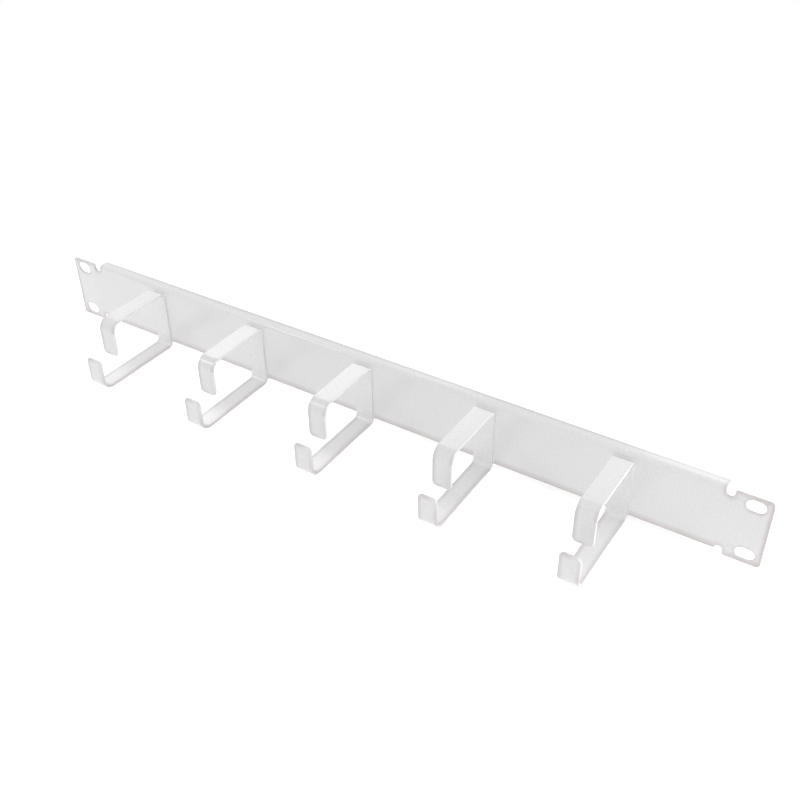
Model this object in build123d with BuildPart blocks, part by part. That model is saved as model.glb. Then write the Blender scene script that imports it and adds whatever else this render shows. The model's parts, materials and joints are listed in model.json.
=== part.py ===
from build123d import *
import os

# Cable management bar for a 19 inch rack, one rack unit high: a folded sheet steel panel with
# five open rings bent from flat steel strip and spot welded to its front face.
# +X runs along the panel, +Z is up and -Y is the front, towards the cables.
# The origin is on the panel's front face, at its middle.

# Panel outline, in millimetres
panel_width = 482.6         # over the two ears, the 19 inch rack width
panel_height = 43.6         # one rack unit of 44.45, less the usual clearance
sheet = 1.2                 # steel sheet thickness
ear_corner_radius = 2.2     # outer corners of the ears

# Rack slots in the ears, set in from the panel's outline so that the columns are 465.1 apart
# and the two slots of one ear 31.75
slot_inset_x = 8.75
slot_inset_z = 5.925
slot_length = 10.2
slot_width = 7.2

# Stiffening flanges, folded back along the top and bottom of the body
flange_depth = 7.5          # from the front face to the flange's free edge
flange_bend_radius = 1.5    # inside of the fold
lower_flange_rise = 1.3     # the lower flange lies this much above the ears' lower edge
flange_corner_radius = 1.0  # free corners of each flange

# Bend reliefs, U-shaped cuts between the body and the ears
ear_width = 19.9            # from the panel's end to the relief
relief_width = 4.3
relief_depth = 4.85         # from the ear's edge to the round end of the cut
relief_corner_radius = 1.0  # ear corner beside the cut

# Rings of flat strip
ring_count = 5
ring_end_inset = 53.5       # middle of an outermost ring, from the end of the body
strip_width = 12.0
strip_thickness = 1.5
root_bend_radius = 2.5      # inside of the two bends at the panel
lip_bend_radius = 5.5       # inside of the bends from the arms to the lips
ring_top_inset = 2.9        # upper arm's outer face, below the panel's top
ring_overhang = 0.9         # lower arm's outer face, below the ears' lower edge
upper_reach = 48.0          # front of the upper lip, from the panel's front face
lower_reach = 62.6          # front of the lower lip, from the panel's front face
upper_lip_height = 23.9     # from the upper arm's outer face to the lip's end
lower_lip_height = 22.0     # from the lower arm's outer face to the lip's end
lip_corner_radius = 3.0     # rounded corners at both ends of the strip

# Places that follow from these sizes
fold_outer_radius = flange_bend_radius + sheet
panel_top = panel_height / 2
panel_bottom = -panel_height / 2
lower_flange = panel_bottom + lower_flange_rise
ear_inner_x = panel_width / 2 - ear_width
relief_x = ear_inner_x - relief_width / 2
body_width = 2 * (ear_inner_x - relief_width)
slot_spacing_x = panel_width - 2 * slot_inset_x
slot_spacing_z = panel_height - 2 * slot_inset_z
ring_pitch = (body_width - 2 * ring_end_inset) / (ring_count - 1)
ring_top = panel_top - ring_top_inset
ring_bottom = panel_bottom - ring_overhang
root_outer_radius = root_bend_radius + strip_thickness
lip_outer_radius = lip_bend_radius + strip_thickness


def web_end(level, direction):
    """Height where the flat web ends and the fold to the flange at this level begins."""
    return level - direction * fold_outer_radius


def build_panel():
    """The folded sheet: a blank with ears, slots and reliefs, and a flange along each edge."""
    with BuildPart() as panel:
        with BuildSketch(Plane.XZ) as blank:
            Rectangle(panel_width, panel_height)
            fillet(blank.vertices(), ear_corner_radius)
            # between the reliefs the flat web stops where each fold begins
            for level, edge, direction in ((panel_top, panel_top, 1), (lower_flange, panel_bottom, -1)):
                start = web_end(level, direction)
                with Locations((0, (start + edge) / 2)):
                    Rectangle(2 * relief_x, abs(edge - start), mode=Mode.SUBTRACT)
            with GridLocations(slot_spacing_x, slot_spacing_z, 2, 2):
                SlotOverall(slot_length, slot_width, mode=Mode.SUBTRACT)
        extrude(amount=-sheet)

        # the folds and flanges, as sections carried along the body
        for level, direction, inside in ((panel_top, 1, Side.RIGHT), (lower_flange, -1, Side.LEFT)):
            start = web_end(level, direction)
            with BuildSketch(Plane.YZ):
                with BuildLine():
                    outer = FilletPolyline(
                        (0, start - direction * sheet),
                        (0, level),
                        (flange_depth, level),
                        radius=fold_outer_radius,
                    )
                    offset(outer, amount=sheet, side=inside)
                make_face()
            extrude(amount=relief_x, both=True)

        # bend reliefs, open at the ears' edges and round at their inner ends; they trim the flanges too
        with BuildSketch(Plane.XZ):
            with GridLocations(2 * relief_x, panel_height, 2, 2):
                SlotOverall(2 * relief_depth, relief_width, rotation=90)
        extrude(amount=-2 * flange_depth, mode=Mode.SUBTRACT)
        outer_edges = [e for e in panel.edges() if abs(abs(e.center().Z) - panel_height / 2) < 1e-6]
        beside_relief = [e for e in outer_edges if abs(abs(e.center().X) - ear_inner_x) < 1e-6]
        fillet(beside_relief, relief_corner_radius)
        free_corners = panel.edges().filter_by(Axis.Z).group_by(Axis.Y)[-1]
        fillet(free_corners, flange_corner_radius)
    return panel


def build_ring(x):
    """One open ring of strip: flat on the panel, an arm above and below, and a lip on each arm.
    The lower arm reaches further out, so that cables pass in between the two lips."""
    with BuildPart() as ring:
        with BuildSketch(Plane.YZ.offset(x)):
            with BuildLine():
                outer = FilletPolyline(
                    (-upper_reach, ring_top - upper_lip_height),
                    (-upper_reach, ring_top),
                    (0, ring_top),
                    (0, ring_bottom),
                    (-lower_reach, ring_bottom),
                    (-lower_reach, ring_bottom + lower_lip_height),
                    radius=(lip_outer_radius, root_outer_radius, root_outer_radius, lip_outer_radius),
                )
                offset(outer, amount=strip_thickness, side=Side.RIGHT)
            make_face()
        extrude(amount=strip_width / 2, both=True)
        lip_corners = ring.edges().filter_by(Axis.Y).group_by(SortBy.LENGTH)[0]
        fillet(lip_corners, lip_corner_radius)
    return ring


os.makedirs("parts", exist_ok=True)

panel = build_panel()
panel.part.label = "panel"
export_step(panel.part, "parts/panel.step")

for number in range(1, ring_count + 1):
    ring = build_ring((number - (ring_count + 1) / 2) * ring_pitch)
    ring.part.label = f"ring_{number}"
    export_step(ring.part, f"parts/ring_{number}.step")
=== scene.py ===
import json
import math

import bpy
import numpy as np
from mathutils import Euler, Matrix, Vector
from mathutils.geometry import delaunay_2d_cdt


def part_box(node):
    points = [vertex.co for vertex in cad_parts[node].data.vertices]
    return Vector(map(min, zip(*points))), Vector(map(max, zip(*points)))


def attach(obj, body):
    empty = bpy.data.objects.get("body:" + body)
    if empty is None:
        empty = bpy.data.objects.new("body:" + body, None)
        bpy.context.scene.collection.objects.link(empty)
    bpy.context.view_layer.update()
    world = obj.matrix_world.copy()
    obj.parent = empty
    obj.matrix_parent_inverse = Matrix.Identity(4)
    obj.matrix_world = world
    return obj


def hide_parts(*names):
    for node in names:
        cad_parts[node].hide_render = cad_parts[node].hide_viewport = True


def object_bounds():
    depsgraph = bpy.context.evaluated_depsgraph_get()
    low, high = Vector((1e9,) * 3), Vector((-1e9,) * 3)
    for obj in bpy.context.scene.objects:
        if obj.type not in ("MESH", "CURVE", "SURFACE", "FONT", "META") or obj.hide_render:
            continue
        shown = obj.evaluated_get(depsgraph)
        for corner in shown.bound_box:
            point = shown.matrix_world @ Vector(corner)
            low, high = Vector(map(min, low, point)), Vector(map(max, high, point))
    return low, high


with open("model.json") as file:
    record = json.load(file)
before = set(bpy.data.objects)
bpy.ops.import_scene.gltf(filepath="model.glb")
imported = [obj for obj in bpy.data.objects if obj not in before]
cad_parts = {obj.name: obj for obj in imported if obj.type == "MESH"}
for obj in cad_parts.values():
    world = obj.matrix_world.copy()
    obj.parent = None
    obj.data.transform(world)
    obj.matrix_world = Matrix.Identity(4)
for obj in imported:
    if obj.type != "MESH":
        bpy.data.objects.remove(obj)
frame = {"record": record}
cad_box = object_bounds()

# Panel. One sheet of 1.2 mm steel: the blank is cut with its rack slots and U-shaped bend reliefs,
# then the long edges between the ears are folded back as stiffening flanges.
# The whole sheet is powder coated, and the coat runs round every cut edge.
mm = 0.001
mounts = {mount["name"]: mount for mount in frame["record"]["mounts"]}
slots = mounts["rack_slots"]["dims"]
panel_high = np.array(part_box("panel")[1]) / mm
panel_half = panel_high[0]
ear_half = panel_high[2]
flange_edge = panel_high[1]         # free edge of both flanges, behind the front face
sheet = mounts["left_ear_back"]["pos_m"][1] / mm
fold_inside = 1.5
fold_middle = fold_inside + sheet / 2
fold_outside = fold_inside + sheet
ear_width = 19.9
relief_width = 4.3
relief_depth = 4.85
ear_corner = 2.2
relief_corner = 1.0
flange_corner = 1.0
lower_flange_rise = 1.3
top_fold = ear_half - fold_outside                          # heights where the flat web ends
bottom_fold = -ear_half + lower_flange_rise + fold_outside
coated_edge = 0.35                  # rounding that the coat gives to a cut edge
rim_shade_full = 0.65                    # the painted edge shade is darkest up to this far from an edge
rim_shade_fade = 3.1                     # and it is gone from here on
edge_grid = 1.0                     # spacing of the points there
cut_shade_fade = 1.6                      # round the slots it is gone from here on
cut_shade_share = 0.6                     # how dark the painted edge shade is at slots and reliefs, where 1 is as dark as it gets
fold_shade_fade = 3.3                     # width of the painted shade above the lower fold
fold_shade_share = 0.7                    # how dark it is painted where that fold begins
flange_shade_share = 0.75                 # what is left of the painted edge shade at the edges of the upper flange
fold_turn = math.radians(95)        # folded a little past square
fold_steps = 12
fold_shade_rows = np.array((0.33, 0.67, 1)) * fold_shade_fade
row_margin = 1.0                    # rows of points stop this far from the sides of the sheet
row_step = 2.0
fold_length = fold_middle * fold_turn
flange_straight = (flange_edge - fold_outside + fold_outside * math.cos(fold_turn)) / math.sin(fold_turn)
flange_length = fold_length + flange_straight       # from the web's end, along the middle of the sheet
ear_inner = panel_half - ear_width
relief_middle = ear_inner - relief_width / 2
body_half = ear_inner - relief_width
coat_dark = (0.722, 0.717, 0.725, 1)
coat_light = (0.782, 0.777, 0.785, 1)
# the darker, warmer colour painted along the edges and outlines as shade
rim_shade_colour = (0.55, 0.505, 0.495, 1)
shade_spread = (0.35, 0.65)         # parts of the noise's range at which the dark and light shades lie
shade_scale = 1000
shade_detail = 3
peel_scale = 900
peel_detail = 2
peel_height = 0.03 * mm
peel_strength = 0.25
coat_roughness = 0.2
coat_ior = 1.7


def unit(vectors):
    """Each vector divided by its own length."""
    return vectors / np.linalg.norm(vectors, axis=-1, keepdims=True)


def rounded_outline(corners, radii, steps=10):
    """A closed outline with round corners, as points and the normals that point out of the metal.
    The corners run with the metal on their left. With a and b the directions from a corner to its
    neighbours and h half the angle between them, the arc's centre lies r / sin(h) along a + b, and its
    ends lie r / tan(h) along a and b. Where the outline turns right, the normal points to the centre."""
    corners = np.array(corners, float)
    radii = np.array(radii, float)[:, None]
    back = unit(np.roll(corners, 1, 0) - corners)
    ahead = unit(np.roll(corners, -1, 0) - corners)
    half = np.arccos(np.clip((back * ahead).sum(1, keepdims=True), -1, 1)) / 2
    centre = corners + unit(back + ahead) * radii / np.sin(half)
    first = corners + back * radii / np.tan(half) - centre
    turn = np.sign(ahead[:, :1] * back[:, 1:] - ahead[:, 1:] * back[:, :1])
    start = np.arctan2(first[:, 1:], first[:, :1])
    angle = start + turn * (math.pi - 2 * half) * np.linspace(0, 1, steps + 1)
    spoke = np.stack((np.cos(angle), np.sin(angle)), -1)
    points = centre[:, None] + radii[:, None] * spoke
    normals = turn[:, None] * spoke
    return points.reshape(-1, 2), normals.reshape(-1, 2)


def crossed(outline, rows):
    """The same outline with a point more wherever one of its sides crosses a row of equal height."""
    points, normals = outline
    for row in rows:
        above = points[:, 1] > row
        cut = np.flatnonzero(above != np.roll(above, -1))
        after = (cut + 1) % len(points)
        share = ((row - points[cut, 1]) / (points[after, 1] - points[cut, 1]))[:, None]
        points = np.insert(points, cut + 1, points[cut] * (1 - share) + points[after] * share, 0)
        normals = np.insert(normals, cut + 1, unit(normals[cut] * (1 - share) + normals[after] * share), 0)
    return points, normals


def depth_inside(points, outlines):
    """How far each point lies inside the outlines, negative outside them or in a slot. On a side from a
    along d, the place nearest to p is a + t d, with t = (p - a) . d / d . d kept between 0 and 1. A point
    is inside where a line from it along x crosses the outlines an odd number of times."""
    starts = np.concatenate([outline for outline, _ in outlines]) @ (1, 1j)
    ends = np.concatenate([np.roll(outline, -1, 0) for outline, _ in outlines]) @ (1, 1j)
    long_enough = abs(ends - starts) > 1e-9
    starts, ends = starts[long_enough], ends[long_enough]
    sides = ends - starts
    depths = []
    for part in np.array_split(points @ (1, 1j), 1 + len(points) // 1000):
        part = part[:, None]
        off = part - starts
        share = np.clip((off * sides.conj()).real / abs(sides) ** 2, 0, 1)
        distance = abs(off - share * sides).min(1)
        crossing = (starts.imag > part.imag) != (ends.imag > part.imag)
        there = starts.real + sides.real * off.imag / np.where(crossing, sides.imag, 1)
        inside = (crossing & (part.real < there)).sum(1) % 2 > 0
        depths.append(np.where(inside, distance, -distance))
    return np.concatenate(depths)


def rim_shade_share(depth, fade):
    """How dark the painted edge shade is at a depth d from an edge: ((w - d) / (w - e)) ^ 1.5, between 1
    and 0, with e the depth up to which it is darkest and w the depth from which it is gone."""
    return np.clip((fade - depth) / (fade - rim_shade_full), 0, 1) ** 1.5


def flat_plate(outlines, rows, row_half, row_step, thickness, rounding, edge_steps=4):
    """A flat plate with rounded edges, before it is bent: points (x, s, h), normals, faces and painted edge
    shade.
    The first outline is the plate's own and the others are slots in it. Round each runs a band of rings
    of points. A ring at the angle t of the rounding r is set in from the outline by r (1 - cos t), at a
    height of thickness / 2 - r (1 - sin t), and the band then mirrors to the other side. The two flat
    faces are triangulated inside the innermost rings, with a line of points along every row, where the
    plate will bend, and a grid of points beside the outlines, where the painted edge shade falls off."""
    half_tilt = np.linspace(math.pi / 2, 0, edge_steps + 1)
    half_inset = rounding * (1 - np.cos(half_tilt))
    half_height = thickness / 2 - rounding * (1 - np.sin(half_tilt))
    tilt = np.concatenate((half_tilt, -half_tilt[::-1]))
    inset = np.concatenate((half_inset, half_inset[::-1]))
    height = np.concatenate((half_height, -half_height[::-1]))
    blocks, directions, rim_shades, faces, rims, start = [], [], [], [], [], 0
    for points, normals in outlines:
        count, bands = len(points), len(tilt)
        ring = points[None] - inset[:, None, None] * normals[None]
        blocks.append(np.dstack((ring, np.broadcast_to(height[:, None], (bands, count)))).reshape(-1, 3))
        lean = np.cos(tilt)[:, None, None] * normals[None]
        rise = np.broadcast_to(np.sin(tilt)[:, None], (bands, count))
        directions.append(np.dstack((lean, rise)).reshape(-1, 3))
        # painted shade on the rounded edges, weaker round the slots
        rim_shades.append(np.repeat(rim_shade_share(inset, rim_shade_fade), count) * (cut_shade_share if rims else 1))
        index = start + np.arange(bands * count).reshape(bands, count)
        after = np.roll(index, -1, 1)
        quads = np.stack((index[:-1], index[1:], after[1:], after[:-1]), -1).reshape(-1, 4)
        faces += quads.tolist()
        rims.append((index[0], index[-1]))
        start += bands * count
    across = np.linspace(-row_half, row_half, 2 * round(row_half / row_step) + 1)
    lines = np.array([[(x, row) for x in across] for row in rows]).reshape(-1, 2)
    line_index = np.arange(len(lines)).reshape(len(rows), -1)
    low, high = outlines[0][0].min(0), outlines[0][0].max(0)
    grid = np.meshgrid(*(np.arange(a + edge_grid / 2, b, edge_grid) for a, b in zip(low, high)))
    grid = np.stack(grid, -1).reshape(-1, 2)
    depth = depth_inside(grid, outlines)
    beside_row = abs(grid[:, 1:] - np.array(rows)).min(1) < edge_grid / 4
    grid = grid[(depth > rounding + edge_grid / 3) & (depth < rim_shade_fade + edge_grid) & ~beside_row]
    inner_points = np.concatenate((lines, grid))
    # painted shade on the flat faces, falling off from the outline and, weaker, from the slots
    inner_rim_shade = rim_shade_share(depth_inside(inner_points, outlines[:1]), rim_shade_fade)
    if len(outlines) > 1:
        at_slots = rim_shade_share(-depth_inside(inner_points, outlines[1:]), cut_shade_fade)
        inner_rim_shade = np.maximum(inner_rim_shade, cut_shade_share * at_slots)
    blank = np.concatenate(blocks)
    for side, sign in ((0, 1), (1, -1)):
        rim = np.concatenate([pair[side] for pair in rims])
        inner = np.concatenate((rim, start + np.arange(len(inner_points))))
        flat = np.concatenate((blank[rim, :2], inner_points))
        sizes = np.cumsum([0] + [len(pair[side]) for pair in rims])
        loops = [np.arange(a, b) for a, b in zip(sizes, sizes[1:])]
        sides = [np.stack((loop, np.roll(loop, -1)), 1) for loop in loops]
        inside = sizes[-1] + np.stack((line_index[:, :-1], line_index[:, 1:]), -1).reshape(-1, 2)
        kept = np.concatenate((*sides, inside)).tolist()
        made = delaunay_2d_cdt([Vector(p) for p in flat.tolist()], kept, [], 1, 1e-5)
        origin = np.array([found[0] for found in made[3]])
        corners = origin[np.array(made[2])]
        # a triangle with all its corners on the rim of one slot lies in that slot
        owner = np.searchsorted(sizes, corners, "right")
        in_hole = (owner == owner[:, :1]).all(1) & (owner[:, 0] > 1) & (owner[:, 0] < len(sizes))
        faces += inner[corners[~in_hole]][:, ::sign].tolist()
        blocks.append(np.column_stack((inner_points, np.full(len(inner_points), sign * thickness / 2))))
        directions.append(np.tile((0.0, 0.0, float(sign)), (len(inner_points), 1)))
        rim_shades.append(inner_rim_shade)
        start += len(inner_points)
    return np.concatenate(blocks), np.concatenate(directions), faces, np.concatenate(rim_shades)


def powder_coat():
    """A pale grey, semi-gloss powder coat with the fine orange-peel texture of baked powder. Its tone
    wanders a little at random, and with the piece's painted edge shade it turns to a darker, warmer colour
    painted as shade."""
    coat = bpy.data.materials.new("fine_powder_coat")
    coat.use_nodes = True
    nodes, links = coat.node_tree.nodes, coat.node_tree.links
    shader = nodes["Principled BSDF"]
    place = nodes.new("ShaderNodeTexCoord")
    shade = nodes.new("ShaderNodeTexNoise")
    shade.inputs["Scale"].default_value = shade_scale
    shade.inputs["Detail"].default_value = shade_detail
    tones = nodes.new("ShaderNodeValToRGB")
    tones.color_ramp.elements[0].position = shade_spread[0]
    tones.color_ramp.elements[0].color = coat_dark
    tones.color_ramp.elements[1].position = shade_spread[1]
    tones.color_ramp.elements[1].color = coat_light
    # painted shade: the darker, warmer colour is mixed in by the painted edge shade stored on the mesh
    rim = nodes.new("ShaderNodeAttribute")
    rim.attribute_name = "rim_shade"
    rim_shade_mix = nodes.new("ShaderNodeMix")
    rim_shade_mix.data_type = "RGBA"
    rim_shade_mix.inputs["B"].default_value = rim_shade_colour
    peel = nodes.new("ShaderNodeTexNoise")
    peel.inputs["Scale"].default_value = peel_scale
    peel.inputs["Detail"].default_value = peel_detail
    bump = nodes.new("ShaderNodeBump")
    bump.inputs["Strength"].default_value = peel_strength
    bump.inputs["Distance"].default_value = peel_height
    shader.inputs["Roughness"].default_value = coat_roughness
    shader.inputs["IOR"].default_value = coat_ior
    links.new(place.outputs["Object"], shade.inputs["Vector"])
    links.new(place.outputs["Object"], peel.inputs["Vector"])
    links.new(shade.outputs["Fac"], tones.inputs["Fac"])
    links.new(rim.outputs["Fac"], rim_shade_mix.inputs["Factor"])
    links.new(tones.outputs["Color"], rim_shade_mix.inputs["A"])
    links.new(rim_shade_mix.outputs["Result"], shader.inputs["Base Color"])
    links.new(peel.outputs["Fac"], bump.inputs["Height"])
    links.new(bump.outputs["Normal"], shader.inputs["Normal"])
    return coat


coat = powder_coat()


def coated_piece(name, points, normals, faces, rim_shade, nodes):
    """Puts a bent plate into a coated mesh, in metres, in the place of its CAD nodes."""
    mesh = bpy.data.meshes.new(name)
    mesh.from_pydata((points * mm).tolist(), [], faces)
    mesh.shade_smooth()
    mesh.normals_split_custom_set_from_vertices(unit(normals).tolist())
    # the painted edge shade goes on the mesh as a point attribute
    mesh.attributes.new("rim_shade", "FLOAT", "POINT").data.foreach_set("value", rim_shade.astype(np.float32))
    mesh.materials.append(coat)
    piece = bpy.data.objects.new(name, mesh)
    bpy.context.scene.collection.objects.link(piece)
    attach(piece, "root")
    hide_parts(*nodes)


def folded(points, normals):
    """Folds the blank's flanges back. Beyond the web's end by a length l along the middle of the sheet,
    of radius r, the sheet has turned by t = l / r, at most the fold's whole turn, about a line behind the
    web, and what is left of l runs on straight. A point at height h above the middle lies r + h away."""
    x, s, h = points.T
    web_end = np.where(s > 0, top_fold, bottom_fold)
    up = np.sign(s)
    beyond = np.where(np.abs(x) < relief_middle, np.maximum(up * (s - web_end), 0), 0)
    turned = np.minimum(beyond / fold_middle, fold_turn)
    straight = beyond - turned * fold_middle
    sine, cosine = np.sin(turned), np.cos(turned)
    flat = beyond <= 0
    y = np.where(flat, sheet / 2 - h, fold_outside - (fold_middle + h) * cosine + straight * sine)
    z = np.where(flat, s, web_end + up * ((fold_middle + h) * sine + straight * cosine))
    along = up[:, None] * np.column_stack((np.zeros_like(x), sine, up * cosine))
    outward = np.column_stack((np.zeros_like(x), -cosine, up * sine))
    ahead = np.column_stack((np.ones_like(x), np.zeros_like(x), np.zeros_like(x)))
    turned_normals = normals[:, :1] * ahead + normals[:, 1:2] * along + normals[:, 2:] * outward
    return np.column_stack((x, y, z)), turned_normals


right_side = [
    ((body_half, bottom_fold - flange_length), flange_corner),
    ((body_half, -ear_half + relief_depth), relief_width / 2),
    ((ear_inner, -ear_half + relief_depth), relief_width / 2),
    ((ear_inner, -ear_half), relief_corner),
    ((panel_half, -ear_half), ear_corner),
    ((panel_half, ear_half), ear_corner),
    ((ear_inner, ear_half), relief_corner),
    ((ear_inner, ear_half - relief_depth), relief_width / 2),
    ((body_half, ear_half - relief_depth), relief_width / 2),
    ((body_half, top_fold + flange_length), flange_corner),
]
left_side = [((-x, s), radius) for (x, s), radius in reversed(right_side)]
blank_corners, blank_radii = zip(*right_side, *left_side)
turns = np.linspace(0, fold_length, fold_steps + 1)
rows = np.concatenate((bottom_fold - turns, top_fold + turns, bottom_fold + fold_shade_rows))
outlines = [crossed(rounded_outline(blank_corners, blank_radii), rows)]
slot_half = np.array((slots["slot_length_mm"] / 2, slots["hole_r_mm"]))
slot_round = 0.999 * slot_half[1]   # a hair under half the slot's height, so that its arcs stay apart
for column in (-1, 1):
    for level in (-1, 1):
        middle = np.array((column * slots["spacing_x_mm"], level * slots["spacing_y_mm"])) / 2
        corners = middle + slot_half * np.array(((1, 1), (1, -1), (-1, -1), (-1, 1)))
        outlines.append(rounded_outline(corners, [slot_round] * 4))
points, normals, faces, rim_shade = flat_plate(
    outlines, rows, body_half - row_margin, row_step, sheet, coated_edge
)
# the painted edge shade is lighter beside the reliefs
from_relief = abs(abs(points[:, 0]) - relief_middle) - relief_width / 2
rim_shade *= np.interp(from_relief, (rim_shade_full, rim_shade_fade), (cut_shade_share, 1))
# and shade is painted on the outside of the lower fold as well
above_fold = points[:, 1] - bottom_fold
at_fold = np.interp(above_fold, (-fold_length, -fold_length / 2, 0, fold_shade_fade), (0, 1, fold_shade_share, 0))
rim_shade = np.maximum(rim_shade, np.where(np.abs(points[:, 0]) < body_half, at_fold, 0))
# less painted edge shade at the edges of the upper flange
rim_shade *= np.interp(points[:, 1] - top_fold, (0, fold_length), (1, flange_shade_share))
coated_piece("folded_panel", *folded(points, normals), faces, rim_shade, ["panel"])

# Rings. Five open rings, each bent from one length of flat steel strip with rounded corners, and spot
# welded by its back to the panel's face. The lower arm reaches further out than the upper one, so that
# cables slip in between the two lips.
strip = 1.5
bend_inside = np.array((5.5, 2.5, 2.5, 5.5))    # at the upper lip, twice at the panel, at the lower lip
bend_middle = bend_inside + strip / 2
bend_outside = bend_inside + strip
bend_length = bend_middle * math.pi / 2
upper_reach = 48.0
upper_lip = 23.9
lower_lip = 22.0
strip_corner = 3.0
strip_edge = 0.5                    # rolled edges of the strip
foot_fade = 1.5                     # the coat bridges the gap behind a bend over this length
bend_steps = 18
strip_row_step = 1.0
upper_lip_shade_share = 0.85              # what is left of the painted edge shade at the edges of the upper lip
lower_arm_shade_share = 0.75              # and at those of the lower arm and lip,
past_bend = 2.0                     # reached this far past the bend
right_side_shade_share = 0.1              # and what of it is left on the lips' right sides


def ring_runs(low, high):
    """The straight runs of a strip, from the end of the upper lip on: each side of the ring less the
    outside radius of the bend before it and of the bend after it."""
    sides = np.array((upper_lip, upper_reach, high[2] - low[2], -low[1], lower_lip))
    return sides - np.append(bend_outside, 0) - np.append(0, bend_outside)


def bent_strip(points, normals, runs, first):
    """Bends a flat strip into a ring. The strip starts upwards and turns right by a right angle after each
    run. Every run and bend adds to the place of a point what of it lies before the point's own s: a run
    its length along the heading d, and a bend of radius r, turned by t, r sin t along d and r (1 - cos t)
    to the right of it. The height h is then measured along the left-hand normal."""
    x, s, h = points.T
    place = np.tile(first, (len(s), 1))
    heading = np.full(len(s), math.pi / 2)
    start = 0.0
    for number, run in enumerate(runs):
        angle = math.pi / 2 * (1 - number)
        d = np.array((math.cos(angle), math.sin(angle)))
        right = np.array((d[1], -d[0]))
        place += np.clip(s - start, 0, run)[:, None] * d
        start += run
        if number < len(runs) - 1:
            radius = bend_middle[number]
            turned = np.clip((s - start) / radius, 0, math.pi / 2)
            place += radius * (np.sin(turned)[:, None] * d + (1 - np.cos(turned))[:, None] * right)
            heading -= turned
            start += bend_length[number]
    along = np.column_stack((np.zeros_like(x), np.cos(heading), np.sin(heading)))
    outward = np.column_stack((np.zeros_like(x), -np.sin(heading), np.cos(heading)))
    across = np.column_stack((np.ones_like(x), np.zeros_like(x), np.zeros_like(x)))
    place = np.column_stack((x, place)) + h[:, None] * outward
    return place, normals[:, :1] * across + normals[:, 1:2] * along + normals[:, 2:] * outward


def coated_foot(points, normals, half_width, leg):
    """Lets the coat run from the strip's leg on to the panel. Along the leg, the round edge at the panel
    turns into a fillet: what lies inwards from the strip's side by a comes to lie outwards by a, and the
    normal's part along the height changes its sign. At both ends of the leg, over the length foot_fade,
    the share w of the change falls from 1 to 0, and the place is inwards by a (1 - 2 w)."""
    x, s, h = points.T
    beyond = np.maximum(np.maximum(leg[0] - s, s - leg[1]), 0)
    inwards = half_width - np.abs(x)
    share = np.clip(1 - beyond / foot_fade, 0, 1) * ((h > 0) & (inwards < strip_edge + 1e-6))
    points, normals = points.copy(), normals.copy()
    points[:, 0] += np.sign(x) * 2 * share * inwards
    normals[:, 2] *= 1 - 2 * share
    return points, normals


for number in range(1, 6):
    node = f"ring_{number}"
    low, high = (np.array(corner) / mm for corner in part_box(node))
    half_width = (high[0] - low[0]) / 2
    runs = ring_runs(low, high)
    bend_ends = np.cumsum(runs)[:-1] + np.cumsum(bend_length)
    bends = bend_ends - bend_length
    rows = (bends[:, None] + bend_length[:, None] * np.linspace(0, 1, bend_steps + 1)).ravel()
    length = sum(runs) + sum(bend_length)
    corners = ((half_width, 0), (half_width, length), (-half_width, length), (-half_width, 0))
    outline = crossed(rounded_outline(corners, [strip_corner] * 4), rows)
    points, normals, faces, rim_shade = flat_plate(
        [outline], rows, half_width - row_margin, strip_row_step, strip, strip_edge
    )
    # no shade is painted on the upper arm and on the leg, and painted edge shade lies at the edges of the
    # lips and lower arm
    places = (bends[0], bend_ends[0], bends[2], bend_ends[2] + past_bend)
    rim_shade *= np.interp(points[:, 1], places, (upper_lip_shade_share, 0, 0, lower_arm_shade_share))
    # and almost no painted edge shade on the lips' right sides
    on_lip = np.interp(points[:, 1], (bends[0], bends[0] + 1, bend_ends[3], length), (1, 0, 0, 1))
    rim_shade *= 1 - on_lip * np.interp(points[:, 0], (0, half_width / 3), (0, 1 - right_side_shade_share))
    leg = (bend_ends[1], bends[2])
    points, normals = coated_foot(points, normals, half_width, leg)
    first = (-upper_reach + strip / 2, high[2] - upper_lip)
    points, normals = bent_strip(points, normals, runs, first)
    points[:, 0] += (low[0] + high[0]) / 2
    coated_piece(f"strip_ring_{number}", points, normals, faces, rim_shade, [node])

# Studio. The bar stands on a square white sheet in front of a white background. Seven lamps stand
# around it, and three more are plain fills, so that its shadows stay as pale as in the photograph.
floor_half = 0.5
floor_level = cad_box[0][2] - 0.05 * mm       # a hair below the rings
floor_colour = (0.9, 0.9, 0.9, 1)
floor_glow = 0.4
ambient = 0.3
background = 1.0
floor_corners = [
    (-floor_half, -floor_half),
    (floor_half, -floor_half),
    (floor_half, floor_half),
    (-floor_half, floor_half),
]
floor_mesh = bpy.data.meshes.new("floor")
floor_mesh.from_pydata([(x, y, floor_level) for x, y in floor_corners], [], [(0, 1, 2, 3)])
floor = bpy.data.objects.new("floor", floor_mesh)
bpy.context.scene.collection.objects.link(floor)


def seen_by_eye(nodes, links):
    """1 for rays from the camera and for the reflections and refractions that show the background."""
    path = nodes.new("ShaderNodeLightPath")
    total = path.outputs["Is Camera Ray"]
    for ray in ("Is Glossy Ray", "Is Transmission Ray"):
        either = nodes.new("ShaderNodeMath")
        either.operation = "MAXIMUM"
        links.new(total, either.inputs[0])
        links.new(path.outputs[ray], either.inputs[1])
        total = either.outputs[0]
    return total


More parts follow.
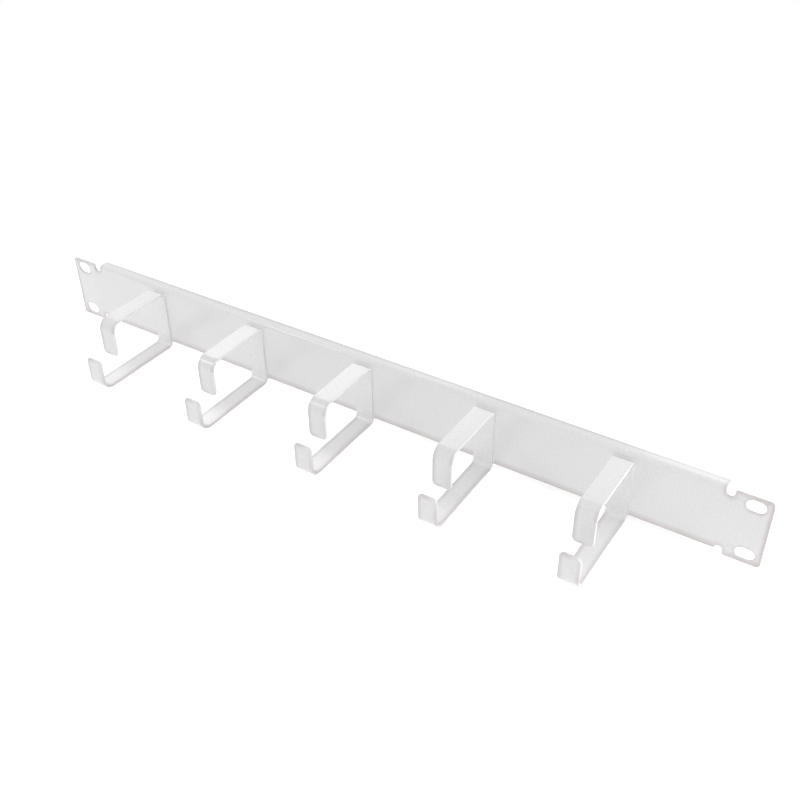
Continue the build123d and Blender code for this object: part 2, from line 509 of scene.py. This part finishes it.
white = bpy.data.materials.new("white_sheet")
white.use_nodes = True
nodes, links = white.node_tree.nodes, white.node_tree.links
nodes.remove(nodes["Principled BSDF"])
paper = nodes.new("ShaderNodeBsdfDiffuse")
paper.inputs["Color"].default_value = floor_colour
lift = nodes.new("ShaderNodeEmission")
lift_strength = nodes.new("ShaderNodeMath")
lift_strength.operation = "MULTIPLY"
lift_strength.inputs[1].default_value = floor_glow
both = nodes.new("ShaderNodeAddShader")
links.new(seen_by_eye(nodes, links), lift_strength.inputs[0])
links.new(lift_strength.outputs[0], lift.inputs["Strength"])
links.new(paper.outputs[0], both.inputs[0])
links.new(lift.outputs[0], both.inputs[1])
links.new(both.outputs[0], nodes["Material Output"].inputs["Surface"])
floor.data.materials.append(white)

world = bpy.data.worlds.new("studio")
bpy.context.scene.world = world
world.use_nodes = True
nodes, links = world.node_tree.nodes, world.node_tree.links
strength = nodes.new("ShaderNodeMapRange")
strength.inputs["To Min"].default_value = ambient
strength.inputs["To Max"].default_value = background
links.new(seen_by_eye(nodes, links), strength.inputs["Value"])
links.new(strength.outputs[0], nodes["Background"].inputs["Strength"])
nodes["Background"].inputs["Color"].default_value = (1, 1, 1, 1)

lamps = {
    # name: (place, aim, width, height, brightness)
    "key": ((-0.66, -0.60, 0.75), (0, 0, 0), 0.26, 0.26, 4.9),
    "front_low": ((0.0, -1.17, 0.25), (0, 0, 0), 0.60, 0.40, 6.2),
    "top_front": ((-0.10, -0.50, 1.05), (0, 0, 0), 0.60, 0.40, 1.3),
    "left_near": ((-0.66, 0.08, 0.21), (-0.1, 0, 0), 0.35, 0.35, 5.8),
    "right_high": ((0.75, 0.05, 0.40), (0.1, 0, 0), 0.30, 0.30, 9.8),
    "right_behind": ((0.62, 0.10, 0.10), (0.1, 0, 0), 0.25, 0.20, 8.2),
    "back_left": ((-0.64, 0.74, 0.69), (0, 0, 0), 0.70, 0.26, 2.3),
    "back_high": ((-0.50, 0.60, 0.90), (0, 0, 0), 0.50, 0.20, 1.2),
    "back": ((-0.13, 0.91, 0.77), (0, 0, 0), 0.40, 0.20, 1.3),
    "back_low": ((0.03, 0.95, 0.54), (0.2, 0, 0), 0.20, 0.20, 1.6),
}
fills = ("front_low", "top_front", "left_near")     # these cast no shadow and no reflection
for name, (place, aim, width, height, brightness) in lamps.items():
    data = bpy.data.lights.new(name, "AREA")
    data.shape = "RECTANGLE"
    data.size = width
    data.size_y = height
    data.energy = brightness * math.pi * width * height
    lamp = bpy.data.objects.new(name, data)
    lamp.location = place
    lamp.rotation_euler = (Vector(place) - Vector(aim)).to_track_quat("Z", "Y").to_euler()
    lamp.visible_camera = False
    data.use_shadow = name not in fills
    lamp.visible_glossy = name not in fills
    bpy.context.scene.collection.objects.link(lamp)

# Camera. It looks down on the bar from the right, as in the photograph. Its place, its turns and its
# focal length follow from the rack's standard sizes and from the outlines in the photograph.
camera_place = (0.29146, -0.41112, 0.35785)
camera_turn = math.radians(32.944)      # to the right of square-on
camera_tilt = math.radians(36.013)      # downwards
camera_roll = math.radians(-0.708)
focal_pixels = 1031.465
picture_pixels = 800
camera_data = bpy.data.cameras.new("camera")
camera_data.sensor_width = 36
camera_data.lens = focal_pixels / picture_pixels * camera_data.sensor_width
camera_data.clip_start = 0.01
camera = bpy.data.objects.new("camera", camera_data)
turn = Euler((math.pi / 2 - camera_tilt, 0, camera_turn)).to_matrix() @ Matrix.Rotation(camera_roll, 3, "Z")
camera.matrix_world = Matrix.Translation(camera_place) @ turn.to_4x4()
bpy.context.scene.collection.objects.link(camera)
bpy.context.scene.camera = camera
bpy.context.scene.view_settings.view_transform = "Standard"
